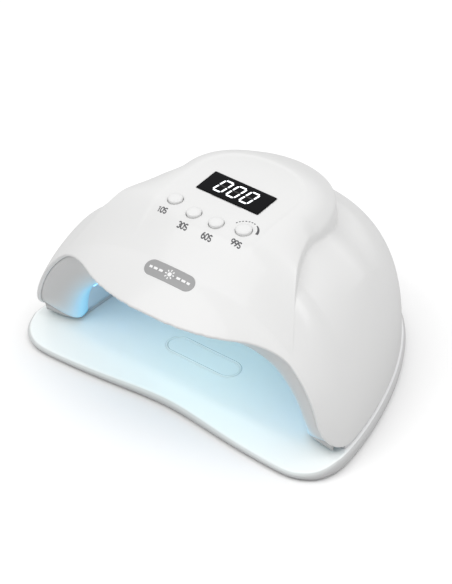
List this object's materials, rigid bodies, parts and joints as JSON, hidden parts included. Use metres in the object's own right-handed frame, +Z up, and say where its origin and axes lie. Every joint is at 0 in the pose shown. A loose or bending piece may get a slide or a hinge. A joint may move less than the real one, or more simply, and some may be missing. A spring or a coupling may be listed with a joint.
{
  "type": "uv curing lamp",
  "caption": "Domed curing lamp with an arched hand opening, control panel with display and time buttons, and a lift-off base tray.",
  "frame": {"origin": "on the table, under the middle of the lamp's width and depth", "axes": "+Z up, -Y towards the user and the hand opening, X across the lamp"},
  "size_m": [0.221, 0.1834, 0.1137],
  "materials": {
    "tray": "smooth white gloss",
    "shell": "white high gloss",
    "bezel": "light grey satin",
    "liner": "white reflective",
    "frame": "white matt",
    "window": "black high gloss",
    "button": "white gloss",
    "badge": "mid grey satin",
    "board": "green solder mask",
    "led": "clear lens",
    "module": "black",
    "rubber": "matt",
    "steel": "zinc plated",
    "black": "matt"
  },
  "bodies": {
    "tray": {"base_tray": "tray", "tray_feet": "rubber", "tray_magnets": "steel"},
    "lamp": {"frame_magnets": "steel", "outer_shell": "shell", "inner_liner": "liner", "led_beads": "led", "led_strip_front": "board", "led_strip_middle": "board", "led_strip_rear": "board", "opening_bezel": "bezel", "base_frame": "frame", "frame_screws": "steel", "display_window": "window", "control_board": "board", "board_screws": "steel", "display_module": "module", "tact_switches": "module", "blank_badge": "badge", "hand_sensor": "module", "power_jack": "black", "power_lead": "black", "led_lead": "black"},
    "button_10s": {"button_10s": "button", "plunger_10s": "module"},
    "button_30s": {"button_30s": "button", "plunger_30s": "module"},
    "button_60s": {"button_60s": "button", "plunger_60s": "module"},
    "button_99s": {"button_99s": "button", "plunger_99s": "module"}
  },
  "joints": [
    {"name": "lamp_lift", "type": "slide", "parent": "tray", "child": "lamp", "axis": [0, 0, 1], "range_m": [0, 0.12]},
    {"name": "press_10s", "type": "slide", "parent": "lamp", "child": "button_10s", "axis": [0, 0.0732, -0.9973], "range_m": [0, 0.0006]},
    {"name": "press_30s", "type": "slide", "parent": "lamp", "child": "button_30s", "axis": [0, 0.0732, -0.9973], "range_m": [0, 0.0006]},
    {"name": "press_60s", "type": "slide", "parent": "lamp", "child": "button_60s", "axis": [0, 0.0732, -0.9973], "range_m": [0, 0.0006]},
    {"name": "press_99s", "type": "slide", "parent": "lamp", "child": "button_99s", "axis": [0, 0.0732, -0.9973], "range_m": [0, 0.0006]}
  ]
}
